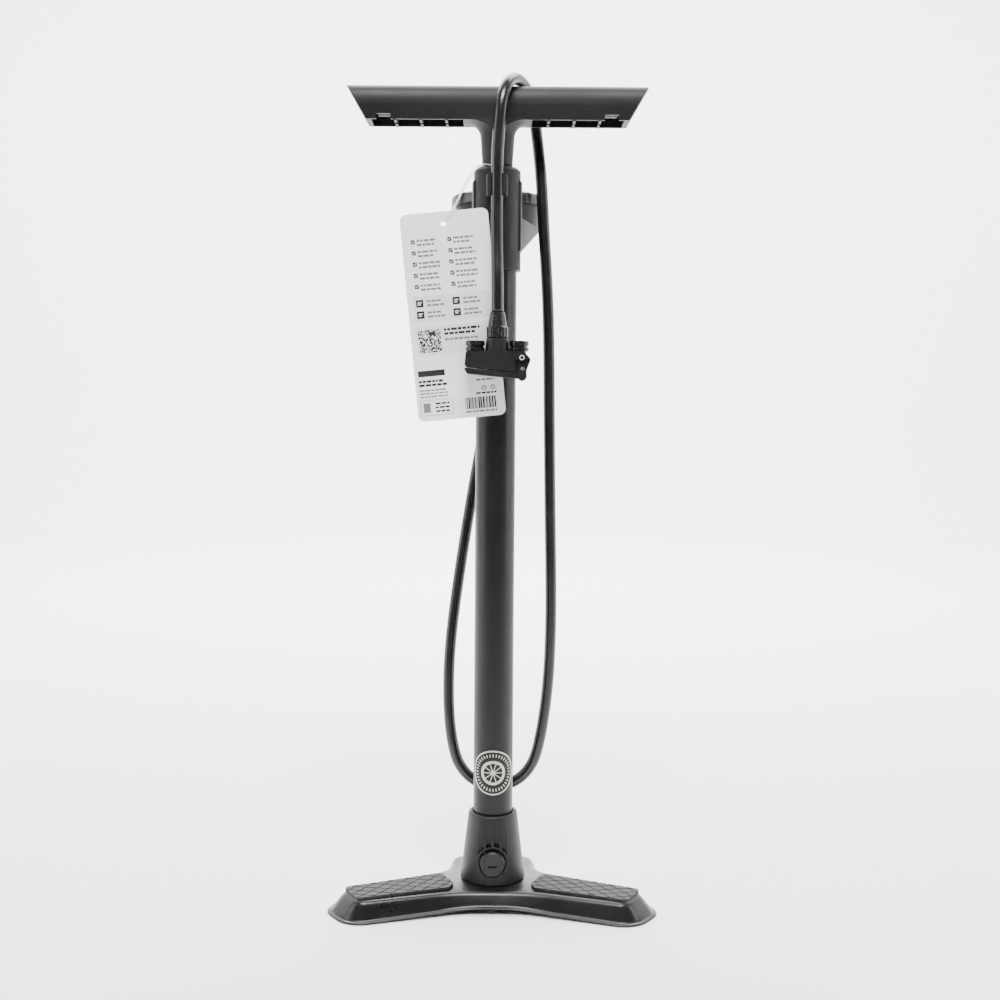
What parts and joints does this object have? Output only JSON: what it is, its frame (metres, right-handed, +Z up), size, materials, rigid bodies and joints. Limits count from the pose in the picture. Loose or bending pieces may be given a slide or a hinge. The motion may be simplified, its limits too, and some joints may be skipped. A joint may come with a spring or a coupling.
{
  "type": "floor pump",
  "caption": "Upright bicycle floor pump: steel barrel on a pressed base, sliding T-handle, gauge with turning bezel, and a hose parked over the handle with a lever valve head.",
  "frame": {"origin": "on the barrel's axis, at floor level", "axes": "+Z up along the barrel, +X along the handle, +Y towards the gauge"},
  "size_m": [0.2624, 0.1626, 0.6629],
  "materials": {
    "powder_steel": "matt black powder coat on steel",
    "satin_plastic": "satin black glass-filled nylon with a fine moulded grain",
    "bezel_plastic": "satin blue-grey plastic",
    "dark_plastic": "glossy black plastic",
    "tread_rubber": "matt black rubber with crossed grooves",
    "hose_rubber": "smooth black rubber hose",
    "seal_rubber": "black nitrile rubber",
    "plated_steel": "bright zinc-plated steel",
    "chrome_rod": "hard chrome on a steel rod",
    "brass": "turned brass",
    "acetal": "natural acetal",
    "needle_steel": "nickel-plated steel",
    "dial_white": "white printed dial",
    "signal_red": "red plastic",
    "clear_lens": "clear polycarbonate lens",
    "badge_foil": "printed silver foil badge",
    "white_card": "coated white card",
    "white_nylon": "white nylon loop"
  },
  "bodies": {
    "pump_body": {"base_plate": "powder_steel", "barrel": "powder_steel", "top_housing": "satin_plastic", "base_neck": "satin_plastic", "head_body": "satin_plastic", "check_valve_plug": "satin_plastic", "hose_ferrule": "dark_plastic", "head_hose_nut": "dark_plastic", "presta_collar": "dark_plastic", "schrader_collar": "dark_plastic", "foot_tread_left": "tread_rubber", "foot_tread_right": "tread_rubber", "hose_loop": "hose_rubber", "hose_drop": "hose_rubber", "plug_oring": "seal_rubber", "rod_wiper": "seal_rubber", "stop_bumper": "seal_rubber", "presta_gasket": "seal_rubber", "schrader_gasket": "seal_rubber", "neck_screws": "plated_steel", "check_valve_spring": "plated_steel", "button_spring": "plated_steel", "lever_pin": "plated_steel", "inner_cylinder": "plated_steel", "check_valve_seat": "brass", "gauge_movement": "brass", "hose_barb": "brass", "rod_bush": "acetal", "gauge_dial": "dial_white", "gauge_lens": "clear_lens", "barrel_badge": "badge_foil", "hang_tag": "white_card", "tag_loop": "white_nylon"},
    "handle": {"handle_shell": "satin_plastic", "handle_nut": "plated_steel", "ball_needle": "needle_steel", "taper_nozzle": "dark_plastic", "piston_rod": "chrome_rod", "piston_body": "acetal", "piston_cup": "seal_rubber", "piston_nut": "plated_steel", "hose_crown": "hose_rubber"},
    "bezel": {"bezel_ring": "bezel_plastic", "target_marker": "signal_red"},
    "needle": {"gauge_needle": "signal_red"},
    "button": {"release_button": "signal_red"},
    "poppet": {"check_valve_poppet": "acetal"},
    "lever": {"head_lever": "satin_plastic"}
  },
  "joints": [
    {"name": "pump_stroke", "type": "slide", "parent": "pump_body", "child": "handle", "axis": [0, 0, 1], "range_m": [0, 0.46]},
    {"name": "bezel_turn", "type": "hinge", "parent": "pump_body", "child": "bezel", "pos_m": [0, 0.0575, 0.572], "axis": [0, 0, 1], "continuous": true},
    {"name": "gauge_needle", "type": "hinge", "parent": "pump_body", "child": "needle", "pos_m": [0, 0.0575, 0.569], "axis": [0, 0, 1], "range_deg": [-270, 0]},
    {"name": "pressure_release", "type": "slide", "parent": "pump_body", "child": "button", "axis": [0, -1, 0], "range_m": [0, 0.0012], "stiffness_N_per_m": 1500},
    {"name": "check_valve", "type": "slide", "parent": "pump_body", "child": "poppet", "axis": [0, -1, 0], "range_m": [0, 0.0015], "stiffness_N_per_m": 300},
    {"name": "head_lever", "type": "hinge", "parent": "pump_body", "child": "lever", "pos_m": [0.0205, -0.036, 0.4306], "axis": [0, -1, 0], "range_deg": [0, 88]}
  ]
}
